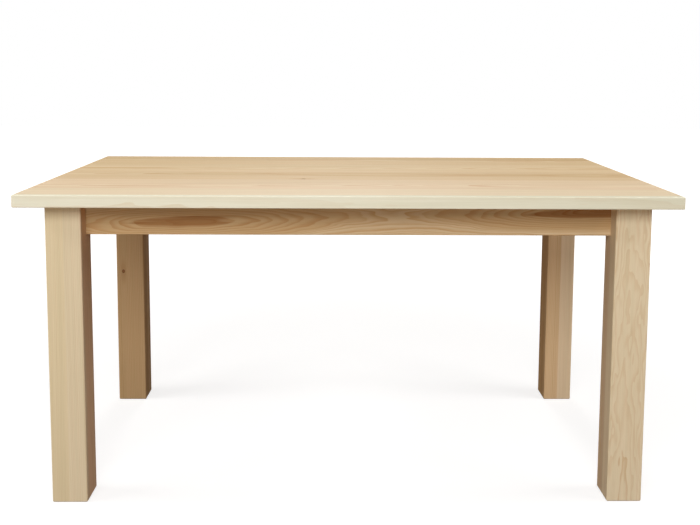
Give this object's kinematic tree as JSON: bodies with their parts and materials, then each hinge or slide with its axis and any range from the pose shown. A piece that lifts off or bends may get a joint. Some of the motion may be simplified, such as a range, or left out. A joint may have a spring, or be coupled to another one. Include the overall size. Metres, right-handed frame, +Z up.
{
  "type": "dining table",
  "caption": "Rectangular dining table in pale pine: glued-up top with an even overhang, square glued legs set in from its edges, and a recessed apron frame.",
  "frame": {"origin": "on the floor, under the middle of the top", "axes": "+X along the table to the right as seen from the front, +Y towards the back, +Z up"},
  "size_m": [1.5, 0.85, 0.737],
  "materials": {
    "pine_top": "planed and sanded pine, matte",
    "pine_legs": "planed and sanded pine, matte",
    "pine_aprons": "planed and sanded flat-sawn pine, matte",
    "pine_rail": "planed pine, matte",
    "beech_buttons": "sawn and sanded beech, matte",
    "zinc_plates": "zinc-plated pressed sheet steel",
    "zinc_fasteners": "zinc-plated steel"
  },
  "bodies": {
    "root": {"top_board_1": "pine_top", "top_board_2": "pine_top", "top_board_3": "pine_top", "top_board_4": "pine_top", "top_board_5": "pine_top", "top_board_6": "pine_top", "front_left_leg_left_lamella": "pine_legs", "front_left_leg_right_lamella": "pine_legs", "front_right_leg_front_lamella": "pine_legs", "front_right_leg_back_lamella": "pine_legs", "back_right_leg_left_lamella": "pine_legs", "back_right_leg_right_lamella": "pine_legs", "back_left_leg_front_lamella": "pine_legs", "back_left_leg_back_lamella": "pine_legs", "front_apron": "pine_aprons", "front_button_1": "beech_buttons", "front_button_2": "beech_buttons", "back_apron": "pine_aprons", "back_button_1": "beech_buttons", "back_button_2": "beech_buttons", "left_apron": "pine_aprons", "left_button_1": "beech_buttons", "left_button_2": "beech_buttons", "right_apron": "pine_aprons", "right_button_1": "beech_buttons", "right_button_2": "beech_buttons", "middle_rail": "pine_rail", "front_left_corner_plate": "zinc_plates", "front_right_corner_plate": "zinc_plates", "back_right_corner_plate": "zinc_plates", "back_left_corner_plate": "zinc_plates", "button_screws": "zinc_fasteners", "hanger_bolts": "zinc_fasteners", "flange_nuts": "zinc_fasteners"}
  },
  "joints": []
}
